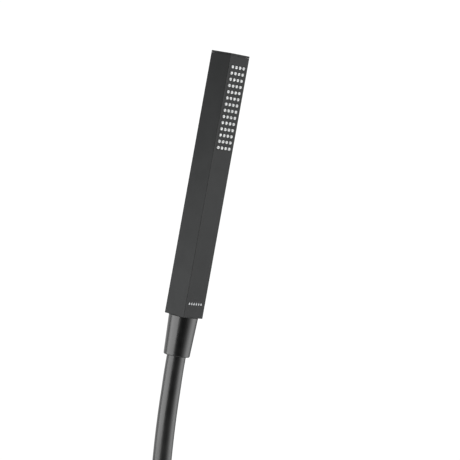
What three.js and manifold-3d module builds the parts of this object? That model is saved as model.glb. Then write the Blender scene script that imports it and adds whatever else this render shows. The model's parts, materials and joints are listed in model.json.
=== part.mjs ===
// Handheld stick shower: a square tube that is handle and spray head in one, on a hose with a conical nut.
// Millimetres, +Z up. The spray face looks along -Y, and the hose's stored length lies on a surface below.
// The origin is on the handle's axis, at the top of the conical nut, where a wall holder carries the shower.
import * as THREE from "three";
import { mergeVertices } from "three/addons/utils/BufferGeometryUtils.js";
import Module from "manifold-3d";

// ---- Driving dimensions ----

const HANDLE_SIDE = 24;
const HANDLE_LENGTH = 235;
const HANDLE_WALL = 1.6;
const EDGE_RADIUS = 0.5;
const CAP_THICKNESS = 1.7;
const GAP = 0.3; // between neighbouring pieces
const OVERLAP = 0.2; // between the parts of one piece before they are joined

const NOZZLE_COLUMNS = 4;
const NOZZLE_ROWS = 14;
const COLUMN_PITCH = 4.6;
const ROW_PITCH = 5.49;
const FIRST_ROW_FROM_TOP = 11.55;
const NOZZLE_RADIUS = 1.35;
const NOZZLE_TIP_RADIUS = 1.1;
const NOZZLE_BORE_RADIUS = 0.4;
const NOZZLE_STANDS_PROUD = 0.6;

const NUT_TOP_RADIUS = 13.1;
const NUT_LOWER_RADIUS = 11.7;
const NUT_LENGTH = 35.5;
const THREAD_RADIUS = 10.48; // G 1/2, 20.955 mm outside
const THREAD_CAVITY_RADIUS = 10.8;

const HOSE_DIAMETER = 17;
const COIL_RADIUS = 5 * HOSE_DIAMETER; // of the two turns that lie on each other
const COIL_OUTER_RADIUS = 102.2; // of the last turn, which lies beside them
const COIL_CENTRE = [103, -85];
const FLOOR_Z = -290; // the surface that the stored hose lies on

// The hose's free stretch, in the plane y = 0: [x, z] from the nut's mouth down to the coil.
const FREE_ROUTE = [
  [0, -35.8],
  [0.2, -51],
  [0.8, -66],
  [1.4, -81],
  [2.3, -96],
  [3.5, -111],
  [5, -126],
  [6.7, -141],
  [8.6, -156],
  [10.9, -171],
  [13.9, -186],
  [18.2, -200],
  [24.3, -213.5],
  [32.3, -226],
  [41.9, -237],
  [52.3, -246],
];

// The hose's last stretch, from the coil to its end fitting: [x, height above the surface].
const TAIL_ROUTE = [
  [165.5, 11.9],
  [175, 12.5],
  [185, 12.7],
];
const TAIL_Y = COIL_CENTRE[1] + COIL_OUTER_RADIUS;

// ---- Derived places ----

const HALF_SIDE = HANDLE_SIDE / 2;
const INNER_HALF = HALF_SIDE - HANDLE_WALL;
const PLUG_HALF = INNER_HALF - 0.4; // plugs and the chamber slide into the tube
const SHELL_TOP = HANDLE_LENGTH - CAP_THICKNESS - GAP;
const FIRST_ROW_Z = HANDLE_LENGTH - FIRST_ROW_FROM_TOP;
const HOSE_RADIUS = HOSE_DIAMETER / 2;

// ---- Solids ----

const ROUND_SIDES = 24;
const NUT_SIDES = 40;
const COIL_SIDES = 32;
const NOZZLE_SIDES = 6;
const NOZZLE_HOLE_SIDES = 8;

const wasm = await Module();
wasm.setup();

// A closed geometry as a manifold-3d solid.
function solidOf(geometry) {
  const bare = new THREE.BufferGeometry();
  bare.setAttribute("position", geometry.getAttribute("position").clone());
  if (geometry.index) bare.setIndex(geometry.index.clone());
  const merged = mergeVertices(bare, 1e-4);
  return new wasm.Manifold(
    new wasm.Mesh({
      numProp: 3,
      vertProperties: new Float32Array(merged.attributes.position.array),
      triVerts: new Uint32Array(merged.index.array),
    }),
  );
}

// A manifold-3d solid as a geometry.
function geometryOf(solid) {
  const mesh = solid.getMesh();
  const geometry = new THREE.BufferGeometry();
  geometry.setAttribute("position", new THREE.BufferAttribute(mesh.vertProperties, 3));
  geometry.setIndex(new THREE.BufferAttribute(mesh.triVerts, 1));
  geometry.computeVertexNormals();
  return geometry;
}

function cut(geometry, tools) {
  let solid = solidOf(geometry);
  for (const tool of tools) solid = solid.subtract(solidOf(tool));
  return geometryOf(solid);
}

function join(geometries) {
  let solid = solidOf(geometries[0]);
  for (const more of geometries.slice(1)) solid = solid.add(solidOf(more));
  return geometryOf(solid);
}

// A solid of revolution about Z. The outline is [radius, z] points, anticlockwise, radius to the right.
function turned(outline, sides = ROUND_SIDES) {
  const points = outline.map(([radius, z]) => new THREE.Vector2(radius, z));
  if (outline[0][0] > 0) points.push(points[0].clone());
  return new THREE.LatheGeometry(points, sides).rotateX(Math.PI / 2);
}

// A plain tube about Z.
function sleeve(innerRadius, outerRadius, low, high, sides = ROUND_SIDES) {
  const outline = [
    [innerRadius, low],
    [outerRadius, low],
    [outerRadius, high],
    [innerRadius, high],
  ];
  return turned(outline, sides);
}

// A round rod along Z.
function rod(radius, low, high, sides = ROUND_SIDES) {
  return new THREE.CylinderGeometry(radius, radius, high - low, sides)
    .rotateX(Math.PI / 2)
    .translate(0, 0, (low + high) / 2);
}

// A round rod along Y.
function rodAlongY(radius, low, high, sides) {
  return new THREE.CylinderGeometry(radius, radius, high - low, sides).translate(0, (low + high) / 2, 0);
}

function box(low, high) {
  const size = high.map((value, i) => value - low[i]);
  const middle = high.map((value, i) => (value + low[i]) / 2);
  return new THREE.BoxGeometry(...size).translate(...middle);
}

function tracedSquare(path, half, radius) {
  const inset = half - radius;
  path.absarc(inset, inset, radius, 0, Math.PI / 2);
  path.absarc(-inset, inset, radius, Math.PI / 2, Math.PI);
  path.absarc(-inset, -inset, radius, Math.PI, 1.5 * Math.PI);
  path.absarc(inset, -inset, radius, 1.5 * Math.PI, 2 * Math.PI);
  path.closePath();
  return path;
}

// A square bar along Z with rounded edges, hollow where innerHalf is given.
function squareBar(half, radius, low, high, innerHalf = 0, innerRadius = 0) {
  const shape = tracedSquare(new THREE.Shape(), half, radius);
  if (innerHalf) shape.holes.push(tracedSquare(new THREE.Path(), innerHalf, innerRadius));
  return new THREE.ExtrudeGeometry(shape, {
    depth: high - low,
    bevelEnabled: false,
    curveSegments: 2,
  }).translate(0, 0, low);
}

function oRing({ meanRadius, sectionRadius, z }) {
  return new THREE.TorusGeometry(meanRadius, sectionRadius, 5, 20).translate(0, 0, z);
}

// The same drill repeated evenly round Z, at that distance from it.
function drillRing(radius, distance, count, low, high) {
  const sides = 6;
  return Array.from({ length: count }, (_, i) =>
    rod(radius, low, high, sides).translate(distance, 0, 0).rotateZ((i * 2 * Math.PI) / count),
  );
}

// A round section swept along points.
function swept(points, radius, sides, steps) {
  const section = new THREE.Shape().absarc(0, 0, radius, 0, 2 * Math.PI);
  const path = new THREE.CatmullRomCurve3(points, false, "centripetal");
  return new THREE.ExtrudeGeometry(section, {
    steps,
    curveSegments: sides / 2, // the whole circle is one arc, which three.js gives twice as many
    bevelEnabled: false,
    extrudePath: path,
  });
}

// ---- Finishes ----

const mattBlack = () => new THREE.MeshStandardMaterial({ color: 0x26282b, roughness: 0.55, metalness: 0.1 });
const satinBlack = () => new THREE.MeshStandardMaterial({ color: 0x1f2022, roughness: 0.35, metalness: 0.1 });
const hoseBlack = () => new THREE.MeshStandardMaterial({ color: 0x242526, roughness: 0.4, metalness: 0 });
const paleSilicone = () => new THREE.MeshStandardMaterial({ color: 0xd3d6d6, roughness: 0.6, metalness: 0 });
const whitePlastic = () => new THREE.MeshStandardMaterial({ color: 0xe6e6e2, roughness: 0.5, metalness: 0 });
const bluePlastic = () => new THREE.MeshStandardMaterial({ color: 0x3d6f9e, roughness: 0.5, metalness: 0 });
const brass = () => new THREE.MeshStandardMaterial({ color: 0xb08d4a, roughness: 0.35, metalness: 1 });
const stainless = () => new THREE.MeshStandardMaterial({ color: 0xb9bcc0, roughness: 0.3, metalness: 1 });
const blackRubber = () => new THREE.MeshStandardMaterial({ color: 0x1a1a1a, roughness: 0.8, metalness: 0 });

const shower = new THREE.Group();

function add(name, geometry, material, parent = shower) {
  const mesh = new THREE.Mesh(geometry, material);
  mesh.name = name;
  parent.add(mesh);
  return mesh;
}

// ---- Handle tube and its cap ----

function nozzlePlaces() {
  const places = [];
  for (let row = 0; row < NOZZLE_ROWS; row++) {
    for (let column = 0; column < NOZZLE_COLUMNS; column++) {
      places.push([(column - (NOZZLE_COLUMNS - 1) / 2) * COLUMN_PITCH, FIRST_ROW_Z - row * ROW_PITCH]);
    }
  }
  return places;
}

const SCREW_Z = 13.5;
const SCREW_RADIUS = 1.5;
const SCREW_SIDES = 12;

function bodyShell() {
  const tube = squareBar(HALF_SIDE, EDGE_RADIUS, GAP, SHELL_TOP, INNER_HALF, EDGE_RADIUS);
  const drills = nozzlePlaces().map(([x, z]) =>
    rodAlongY(NOZZLE_RADIUS + GAP, -HALF_SIDE - 1, -INNER_HALF + 1, NOZZLE_HOLE_SIDES).translate(x, 0, z),
  );
  const screwHole = rodAlongY(SCREW_RADIUS + GAP, INNER_HALF - 1, HALF_SIDE + 1, SCREW_SIDES);
  drills.push(screwHole.translate(0, 0, SCREW_Z));
  return cut(tube, drills);
}

const CAP_PLUG_LOW = HANDLE_LENGTH - 5.7;
const CAP_GROOVE_LOW = CAP_PLUG_LOW + 1.1;
const SEAL_GROOVE = { floorHalf: 9, radius: 1, height: 1.6 };
const SQUARE_SEAL = { innerHalf: 9.3, outerHalf: 10.15, height: 1.2, radius: 1 };

// The ring of material that a square seal's groove takes out of a plug.
function sealGroove(low) {
  const { floorHalf, radius, height } = SEAL_GROOVE;
  return squareBar(HALF_SIDE, EDGE_RADIUS, low, low + height, floorHalf, radius);
}

function squareSeal(grooveLow) {
  const low = grooveLow + (SEAL_GROOVE.height - SQUARE_SEAL.height) / 2;
  const { innerHalf, outerHalf, height, radius } = SQUARE_SEAL;
  return squareBar(outerHalf, radius, low, low + height, innerHalf, radius);
}

function topCap() {
  const plateLow = SHELL_TOP + GAP;
  const plate = squareBar(HALF_SIDE, EDGE_RADIUS, plateLow, HANDLE_LENGTH);
  const plug = squareBar(PLUG_HALF, EDGE_RADIUS, CAP_PLUG_LOW, plateLow + OVERLAP);
  return cut(join([plate, plug]), [sealGroove(CAP_GROOVE_LOW)]);
}

add("body_shell", bodyShell(), mattBlack());
add("top_cap", topCap(), mattBlack());
add("top_cap_seal", squareSeal(CAP_GROOVE_LOW), blackRubber());

// ---- Spray mat and the chamber behind it ----

const MAT_BACK_Y = -8.6;
const MAT_FRONT_Y = -INNER_HALF + GAP;
const MAT_LOW_Z = HANDLE_LENGTH - 90;
const MAT_HIGH_Z = HANDLE_LENGTH - 6.3;
const MAT_HALF_WIDTH = 9.9;

function nozzleMat() {
  const tipY = -HALF_SIDE - NOZZLE_STANDS_PROUD;
  const length = MAT_FRONT_Y - tipY + OVERLAP;
  const plate = box(
    [-MAT_HALF_WIDTH, MAT_FRONT_Y, MAT_LOW_Z],
    [MAT_HALF_WIDTH, MAT_BACK_Y, MAT_HIGH_Z],
  );
  const nozzle = ([x, z]) =>
    new THREE.CylinderGeometry(NOZZLE_RADIUS, NOZZLE_TIP_RADIUS, length, NOZZLE_SIDES)
      .translate(x, tipY + length / 2, z);
  const bore = ([x, z]) =>
    rodAlongY(NOZZLE_BORE_RADIUS, tipY - 1, MAT_BACK_Y + 1, 4).translate(x, 0, z);
  return cut(join([plate, ...nozzlePlaces().map(nozzle)]), nozzlePlaces().map(bore));
}

const HOUSING_LOW_Z = MAT_LOW_Z - 4;
const CHAMBER_LOW_Z = MAT_LOW_Z + 4.5;
const CHAMBER_HIGH_Z = MAT_HIGH_Z - 1.7;
const CHAMBER_HALF_WIDTH = 8.2;
const CHAMBER_BACK_Y = 6;
const SOCKET_RADIUS = 7.3; // takes the water tube at either end
const SOCKET_DEPTH = 6;
const PASSAGE_RADIUS = 5.2;

function sprayHousing() {
  const front = MAT_BACK_Y + GAP;
  const block = box([-PLUG_HALF, front, HOUSING_LOW_Z], [PLUG_HALF, PLUG_HALF, MAT_HIGH_Z]);
  const chamber = box(
    [-CHAMBER_HALF_WIDTH, front - 1, CHAMBER_LOW_Z],
    [CHAMBER_HALF_WIDTH, CHAMBER_BACK_Y, CHAMBER_HIGH_Z],
  );
  const socket = rod(SOCKET_RADIUS, HOUSING_LOW_Z - 1, HOUSING_LOW_Z + SOCKET_DEPTH);
  const passage = rod(PASSAGE_RADIUS, HOUSING_LOW_Z, CHAMBER_LOW_Z + 1);
  return cut(block, [chamber, socket, passage]);
}

add("nozzle_mat", nozzleMat(), paleSilicone());
add("spray_housing", sprayHousing(), whitePlastic());

// ---- Water tube ----

const INSERT_LOW_Z = -11;
const INSERT_HIGH_Z = 18;
const INSERT_SHOULDER_Z = 7.6;
const INSERT_SOCKET_Z = 10;
const TUBE_LOW_Z = INSERT_SOCKET_Z + GAP;
const TUBE_HIGH_Z = HOUSING_LOW_Z + SOCKET_DEPTH - GAP;
const TUBE_RADIUS = 6.9;
const TUBE_GROOVE_RADIUS = 5.9;
const TUBE_RING = { meanRadius: 6.55, sectionRadius: 0.5 };
const TUBE_LOWER_RING_Z = TUBE_LOW_Z + 3.3;
const TUBE_UPPER_RING_Z = TUBE_HIGH_Z - 3.3;
const RING_GROOVE_HALF = 0.8;

function waterTube() {
  return turned(
    [
      [PASSAGE_RADIUS, TUBE_LOW_Z],
      [TUBE_RADIUS, TUBE_LOW_Z],
      [TUBE_RADIUS, TUBE_LOWER_RING_Z - RING_GROOVE_HALF],
      [TUBE_GROOVE_RADIUS, TUBE_LOWER_RING_Z - RING_GROOVE_HALF],
      [TUBE_GROOVE_RADIUS, TUBE_LOWER_RING_Z + RING_GROOVE_HALF],
      [TUBE_RADIUS, TUBE_LOWER_RING_Z + RING_GROOVE_HALF],
      [TUBE_RADIUS, TUBE_UPPER_RING_Z - RING_GROOVE_HALF],
      [TUBE_GROOVE_RADIUS, TUBE_UPPER_RING_Z - RING_GROOVE_HALF],
      [TUBE_GROOVE_RADIUS, TUBE_UPPER_RING_Z + RING_GROOVE_HALF],
      [TUBE_RADIUS, TUBE_UPPER_RING_Z + RING_GROOVE_HALF],
      [TUBE_RADIUS, TUBE_HIGH_Z],
      [PASSAGE_RADIUS, TUBE_HIGH_Z],
    ],
  );
}

add("water_tube", waterTube(), whitePlastic());
add("water_tube_lower_o_ring", oRing({ ...TUBE_RING, z: TUBE_LOWER_RING_Z }), blackRubber());
add("water_tube_upper_o_ring", oRing({ ...TUBE_RING, z: TUBE_UPPER_RING_Z }), blackRubber());

// ---- Inlet insert, its seal and its grub screw ----

const CARTRIDGE_BORE_RADIUS = 7.7;
const SPIGOT_NECK_RADIUS = 9.8;
const INSERT_GROOVE_LOW = 3;
const SCREW_TIP_Y = 9;
const SCREW_POCKET_Y = 8.7;
const SCREW_HEAD_Y = 11.8;
const SCREW_SOCKET = { radius: 0.8, depth: 1.2, sides: 6 };

function inletInsert() {
  const plug = squareBar(PLUG_HALF, EDGE_RADIUS, GAP, INSERT_HIGH_Z);
  const spigot = rod(THREAD_RADIUS, INSERT_LOW_Z, 0);
  const neck = rod(SPIGOT_NECK_RADIUS, -1, 1);
  const bores = [
    rod(CARTRIDGE_BORE_RADIUS, INSERT_LOW_Z - 1, INSERT_SHOULDER_Z),
    rod(PASSAGE_RADIUS, INSERT_SHOULDER_Z - 1, INSERT_SOCKET_Z + 1),
    rod(SOCKET_RADIUS, INSERT_SOCKET_Z, INSERT_HIGH_Z + 1),
    rodAlongY(SCREW_RADIUS + GAP, SCREW_POCKET_Y, HALF_SIDE, SCREW_SIDES).translate(0, 0, SCREW_Z),
    sealGroove(INSERT_GROOVE_LOW),
  ];
  return cut(join([plug, spigot, neck]), bores);
}

function grubScrew() {
  const { radius, depth, sides } = SCREW_SOCKET;
  const shank = rodAlongY(SCREW_RADIUS, SCREW_TIP_Y, SCREW_HEAD_Y, SCREW_SIDES);
  const socket = rodAlongY(radius, SCREW_HEAD_Y - depth, SCREW_HEAD_Y + 1, sides);
  return cut(shank, [socket]).translate(0, 0, SCREW_Z);
}

add("inlet_insert", inletInsert(), brass());
add("inlet_insert_seal", squareSeal(INSERT_GROOVE_LOW), blackRubber());
add("inlet_grub_screw", grubScrew(), stainless());

// ---- Non-return valve cartridge ----

const VALVE_LOW_Z = -4.8;
const VALVE_LENGTH = 12;
const VALVE_RADIUS = 7.3;
const VALVE_INNER_RADIUS = 5.4;
const VALVE_SEAT_RADIUS = 3.8;
const VALVE_SEAT_Z = 2.6; // heights in the cartridge count from its lower face
const VALVE_GROOVE = { floorRadius: 6.1, low: 0.5, high: 2.1 };
const VALVE_RING = { meanRadius: 6.9, sectionRadius: 0.5, z: 1.3 };
const GUIDE_SEAT_RADIUS = 6.2;
const POPPET_RADIUS = 4.6;
const POPPET_LOW_Z = 3.6;
const POPPET_HIGH_Z = 4.6;
const POPPET_NOSE_RADIUS = 1.9;
const POPPET_SEAL = { innerRadius: 2.2, low: 2.9, high: 3.3 };
const STEM_RADIUS = 0.9;
const STEM_TOP_Z = 11;
const GUIDE_LOW_Z = 9.8;
const GUIDE_HIGH_Z = 11.2;
const GUIDE_RIM = { innerRadius: 4.9, outerRadius: 5.9 };
const GUIDE_HUB_RADIUS = 1.9;
const GUIDE_ARM_HALF_WIDTH = 0.4;
const VALVE_SPRING = { radius: 2.5, wireRadius: 0.3, low: 4.9, high: 9.5, turns: 4 };

const cartridge = new THREE.Group();
cartridge.position.z = VALVE_LOW_Z;
shower.add(cartridge);

function valveHousing() {
  return turned(
    [
      [VALVE_SEAT_RADIUS, 0],
      [VALVE_RADIUS, 0],
      [VALVE_RADIUS, VALVE_GROOVE.low],
      [VALVE_GROOVE.floorRadius, VALVE_GROOVE.low],
      [VALVE_GROOVE.floorRadius, VALVE_GROOVE.high],
      [VALVE_RADIUS, VALVE_GROOVE.high],
      [VALVE_RADIUS, VALVE_LENGTH],
      [GUIDE_SEAT_RADIUS, VALVE_LENGTH],
      [GUIDE_SEAT_RADIUS, GUIDE_LOW_Z - GAP],
      [VALVE_INNER_RADIUS, GUIDE_LOW_Z - GAP],
      [VALVE_INNER_RADIUS, VALVE_SEAT_Z],
      [VALVE_SEAT_RADIUS, VALVE_SEAT_Z],
    ],
  );
}

// A ring with a hub on three arms, which the poppet's stem slides in.
function valveGuide() {
  const rim = sleeve(GUIDE_RIM.innerRadius, GUIDE_RIM.outerRadius, GUIDE_LOW_Z, GUIDE_HIGH_Z);
  const hub = rod(GUIDE_HUB_RADIUS, GUIDE_LOW_Z, GUIDE_HIGH_Z, 16);
  const armLow = [STEM_RADIUS, -GUIDE_ARM_HALF_WIDTH, GUIDE_LOW_Z];
  const armHigh = [GUIDE_RIM.innerRadius + GAP, GUIDE_ARM_HALF_WIDTH, GUIDE_HIGH_Z - OVERLAP];
  const arms = [0, 1, 2].map((i) => box(armLow, armHigh).rotateZ((i * 2 * Math.PI) / 3));
  return cut(join([rim, hub, ...arms]), [rod(STEM_RADIUS + GAP, 0, VALVE_LENGTH, 16)]);
}

function valvePoppet() {
  return turned(
    [
      [0, POPPET_LOW_Z - 1.6],
      [POPPET_NOSE_RADIUS - 0.3, POPPET_LOW_Z - 1.2],
      [POPPET_NOSE_RADIUS, POPPET_LOW_Z],
      [POPPET_RADIUS, POPPET_LOW_Z],
      [POPPET_RADIUS, POPPET_HIGH_Z],
      [STEM_RADIUS, POPPET_HIGH_Z],
      [STEM_RADIUS, STEM_TOP_Z - GAP],
      [0, STEM_TOP_Z],
    ],
  );
}

function poppetSeal() {
  return sleeve(POPPET_SEAL.innerRadius, POPPET_RADIUS, POPPET_SEAL.low, POPPET_SEAL.high);
}

function coilSpring({ radius, wireRadius, low, high, turns }) {
  const stepsPerTurn = 8;
  const points = [];
  for (let i = 0; i <= turns * stepsPerTurn; i++) {
    const angle = (2 * Math.PI * i) / stepsPerTurn;
    const share = i / (turns * stepsPerTurn);
    const height = low + wireRadius + (high - low - 2 * wireRadius) * share;
    points.push(new THREE.Vector3(radius * Math.cos(angle), radius * Math.sin(angle), height));
  }
  return swept(points, wireRadius, 4, turns * stepsPerTurn);
}

add("check_valve_housing", valveHousing(), bluePlastic(), cartridge);
add("check_valve_o_ring", oRing(VALVE_RING), blackRubber(), cartridge);
add("check_valve_guide", valveGuide(), bluePlastic(), cartridge);
add("check_valve_poppet", valvePoppet(), whitePlastic(), cartridge);
add("check_valve_poppet_seal", poppetSeal(), blackRubber(), cartridge);
add("check_valve_spring", coilSpring(VALVE_SPRING), stainless(), cartridge);

// ---- Flow limiter and strainer ----

const LIMITER_LOW_Z = -8.3;
const LIMITER_HIGH_Z = -5.2;
const LIMITER_RADIUS = 7.2;
const LIMITER_GROOVE = { innerRadius: 2.6, floorInnerRadius: 3, outerRadius: 5.6, floor: -6.4 };
const LIMITER_RING = { meanRadius: 4.3, sectionRadius: 0.7, z: -7.4 };
const WATER_HOLE_RADIUS = 0.6;

// A disc with a ring groove in its lower face, and a ring of small holes in the groove's floor.
function flowLimiter() {
  const disc = turned([
    [0, LIMITER_LOW_Z],
    [LIMITER_GROOVE.innerRadius, LIMITER_LOW_Z],
    [LIMITER_GROOVE.floorInnerRadius, LIMITER_GROOVE.floor],
    [LIMITER_GROOVE.outerRadius, LIMITER_GROOVE.floor],
    [LIMITER_GROOVE.outerRadius, LIMITER_LOW_Z],
    [LIMITER_RADIUS, LIMITER_LOW_Z],
    [LIMITER_RADIUS, LIMITER_HIGH_Z],
    [0, LIMITER_HIGH_Z],
  ]);
  const low = LIMITER_GROOVE.floor - 1;
  return cut(disc, drillRing(WATER_HOLE_RADIUS, LIMITER_RING.meanRadius, 8, low, LIMITER_HIGH_Z + 1));
}

const STRAINER = { radius: 5.2, low: -12.6, high: -12, innerHoles: [1.3, 4], outerHoles: [3.5, 10] };
const STRAINER_WASHER = { innerRadius: 5.5, outerRadius: 9.1, low: -13.3, high: -11.3 };

function strainerScreen() {
  const { radius, low, high, innerHoles, outerHoles } = STRAINER;
  const rings = [innerHoles, outerHoles].flatMap(([distance, count]) =>
    drillRing(WATER_HOLE_RADIUS, distance, count, low - 1, high + 1),
  );
  return cut(rod(radius, low, high), rings);
}

function strainerWasher() {
  const { innerRadius, outerRadius, low, high } = STRAINER_WASHER;
  return sleeve(innerRadius, outerRadius, low, high);
}

add("flow_limiter", flowLimiter(), whitePlastic());
add("flow_limiter_o_ring", oRing(LIMITER_RING), blackRubber());
add("strainer_washer", strainerWasher(), blackRubber());
add("strainer_screen", strainerScreen(), stainless());

// ---- Conical nut ----

const NUT_SHOULDER_Z = -15.7;
const NUT_MOUTH_RADIUS = 8.9;

function coneNut() {
  return turned(
    [
      [NUT_MOUTH_RADIUS, -NUT_LENGTH],
      [NUT_LOWER_RADIUS - 1, -NUT_LENGTH],
      [NUT_LOWER_RADIUS - 0.3, -NUT_LENGTH + 0.3],
      [NUT_LOWER_RADIUS, -NUT_LENGTH + 1],
      [NUT_TOP_RADIUS, -0.4],
      [NUT_TOP_RADIUS - 0.3, 0],
      [THREAD_CAVITY_RADIUS, 0],
      [THREAD_CAVITY_RADIUS, NUT_SHOULDER_Z],
      [NUT_MOUTH_RADIUS, NUT_SHOULDER_Z],
    ],
    NUT_SIDES,
  );
}

add("cone_nut", coneNut(), satinBlack());

// ---- Anti-twist swivel inside the nut ----

const NIPPLE_BORE_RADIUS = 3.3;
const NIPPLE_TAIL_RADIUS = 4.3;
const BARB_RADIUS = 4.75;
const FERRULE_BORE_RADIUS = 5.1;
const BUSH = {
  boreRadius: 6,
  bodyRadius: 8.5,
  lipRadius: 10.3,
  headRadius: 7.6,
  low: -24,
  lip: -15.4,
  high: -13.6,
};
const NIPPLE_BODY_RADIUS = 5.6;
const NIPPLE_HEAD = { radius: 7.2, low: -15.4, high: -14 };
const NIPPLE_GROOVE = { floorRadius: 4.6, low: -20.7, high: -19.1 };
const SWIVEL_RING = { meanRadius: 5.2, sectionRadius: 0.5, z: -19.9 };
const UPPER_FERRULE = { low: -35.2, high: -24.6 };

function swivelBush() {
  return turned([
    [BUSH.boreRadius, BUSH.low],
    [BUSH.bodyRadius, BUSH.low],
    [BUSH.bodyRadius, BUSH.lip],
    [BUSH.lipRadius, BUSH.lip],
    [BUSH.lipRadius, BUSH.high],
    [BUSH.headRadius, BUSH.high],
    [BUSH.headRadius, NUT_SHOULDER_Z],
    [BUSH.boreRadius, NUT_SHOULDER_Z],
  ]);
}

// Three barbs along a tail, from its thick end at start to its tip, as outline points.
function barbs(start, pitch) {
  return [0, 1, 2].flatMap((i) => [
    [BARB_RADIUS, start + i * pitch],
    [NIPPLE_TAIL_RADIUS, start + (i + 0.8) * pitch],
  ]);
}

function upperNipple() {
  return turned([
    [NIPPLE_BORE_RADIUS, UPPER_FERRULE.low + 1.2],
    ...barbs(UPPER_FERRULE.high, -3).reverse(),
    [NIPPLE_BODY_RADIUS, UPPER_FERRULE.high + GAP],
    [NIPPLE_BODY_RADIUS, NIPPLE_GROOVE.low],
    [NIPPLE_GROOVE.floorRadius, NIPPLE_GROOVE.low],
    [NIPPLE_GROOVE.floorRadius, NIPPLE_GROOVE.high],
    [NIPPLE_BODY_RADIUS, NIPPLE_GROOVE.high],
    [NIPPLE_BODY_RADIUS, NIPPLE_HEAD.low],
    [NIPPLE_HEAD.radius, NIPPLE_HEAD.low],
    [NIPPLE_HEAD.radius, NIPPLE_HEAD.high],
    [NIPPLE_BORE_RADIUS, NIPPLE_HEAD.high],
  ]);
}

function upperFerrule() {
  return sleeve(FERRULE_BORE_RADIUS, HOSE_RADIUS, UPPER_FERRULE.low, UPPER_FERRULE.high);
}

add("swivel_bush", swivelBush(), brass());
add("hose_upper_nipple", upperNipple(), brass());
add("swivel_o_ring", oRing(SWIVEL_RING), blackRubber());
add("hose_upper_ferrule", upperFerrule(), hoseBlack());

// ---- Hose ----

const onPlane = ([x, z]) => new THREE.Vector3(x, 0, z);
const onFloor = ([x, height]) => new THREE.Vector3(x, TAIL_Y, FLOOR_Z + height);

// The outer shape of the stored turns: two on each other, and one beside the lower.
function hoseCoil() {
  const inner = COIL_RADIUS - HOSE_RADIUS;
  const upperOuter = COIL_RADIUS + HOSE_RADIUS;
  const outer = COIL_OUTER_RADIUS + HOSE_RADIUS;
  const round = HOSE_RADIUS / 2;
  return turned(
    [
      [inner + round, 0],
      [outer - round, 0],
      [outer, round],
      [outer, HOSE_DIAMETER - round],
      [outer - round, HOSE_DIAMETER],
      [upperOuter, HOSE_DIAMETER],
      [upperOuter, 2 * HOSE_DIAMETER - round],
      [upperOuter - round, 2 * HOSE_DIAMETER],
      [inner + round, 2 * HOSE_DIAMETER],
      [inner, 2 * HOSE_DIAMETER - round],
      [inner, round],
    ],
    COIL_SIDES,
  ).translate(COIL_CENTRE[0], COIL_CENTRE[1], FLOOR_Z);
}

add("hose_tube", swept(FREE_ROUTE.map(onPlane), HOSE_RADIUS, 10, 14), hoseBlack());
add("hose_coil", hoseCoil(), hoseBlack());
add("hose_tail_tube", swept(TAIL_ROUTE.map(onFloor), HOSE_RADIUS, 10, 2), hoseBlack());

// ---- Wall end of the hose, made along Z from the tail's end and laid along X ----

const wallEnd = new THREE.Group();
wallEnd.position.set(TAIL_ROUTE.at(-1)[0], TAIL_Y, FLOOR_Z + TAIL_ROUTE.at(-1)[1]);
wallEnd.rotation.y = Math.PI / 2;
shower.add(wallEnd);

const LOWER_FERRULE_RADIUS = 9.3;
const LOWER_FERRULE_LENGTH = 20;
const WALL_NUT_LOW = 21;
const WALL_NUT_HIGH = 36;
const WALL_NUT_RADIUS = 12.2;
const WALL_NUT_BORE_RADIUS = 7.6;
const WALL_NUT_FLOOR = 24.1;
const FLUTE = { count: 12, radius: 1.6, depth: 0.5, sides: 8 };
const LOWER_NIPPLE = { tip: 4, neckRadius: 7, flangeRadius: 10.2, flangeLow: 24.4, flangeHigh: 26.4 };
const WALL_WASHER = { innerRadius: 5.5, outerRadius: 9.9, low: 26.7, high: 28.7 };

function lowerFerrule() {
  return turned([
    [FERRULE_BORE_RADIUS, GAP],
    [LOWER_FERRULE_RADIUS - 0.4, GAP],
    [LOWER_FERRULE_RADIUS, GAP + 0.6],
    [LOWER_FERRULE_RADIUS, LOWER_FERRULE_LENGTH - 0.5],
    [LOWER_FERRULE_RADIUS - 0.6, LOWER_FERRULE_LENGTH],
    [FERRULE_BORE_RADIUS, LOWER_FERRULE_LENGTH],
  ]);
}

function lowerNipple() {
  const { tip, neckRadius, flangeRadius, flangeLow, flangeHigh } = LOWER_NIPPLE;
  return turned([
    [NIPPLE_BORE_RADIUS, tip],
    ...barbs(LOWER_FERRULE_LENGTH - 1, -4).reverse(),
    [NIPPLE_TAIL_RADIUS, LOWER_FERRULE_LENGTH + GAP],
    [neckRadius, LOWER_FERRULE_LENGTH + GAP],
    [neckRadius, flangeLow],
    [flangeRadius, flangeLow],
    [flangeRadius, flangeHigh],
    [NIPPLE_BORE_RADIUS, flangeHigh],
  ]);
}

function wallNut() {
  const outline = [
    [WALL_NUT_BORE_RADIUS, WALL_NUT_LOW],
    [WALL_NUT_RADIUS - 1, WALL_NUT_LOW],
    [WALL_NUT_RADIUS, WALL_NUT_LOW + 1],
    [WALL_NUT_RADIUS, WALL_NUT_HIGH - 0.6],
    [WALL_NUT_RADIUS - 0.4, WALL_NUT_HIGH],
    [THREAD_CAVITY_RADIUS, WALL_NUT_HIGH],
    [THREAD_CAVITY_RADIUS, WALL_NUT_FLOOR],
    [WALL_NUT_BORE_RADIUS, WALL_NUT_FLOOR],
  ];
  const distance = WALL_NUT_RADIUS + FLUTE.radius - FLUTE.depth;
  const flutes = Array.from({ length: FLUTE.count }, (_, i) =>
    rod(FLUTE.radius, WALL_NUT_LOW + 3, WALL_NUT_HIGH + 1, FLUTE.sides)
      .translate(distance, 0, 0)
      .rotateZ((2 * Math.PI * (i + 0.5)) / FLUTE.count),
  );
  return cut(turned(outline, NUT_SIDES), flutes);
}

function wallWasher() {
  const { innerRadius, outerRadius, low, high } = WALL_WASHER;
  return sleeve(innerRadius, outerRadius, low, high);
}

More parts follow.
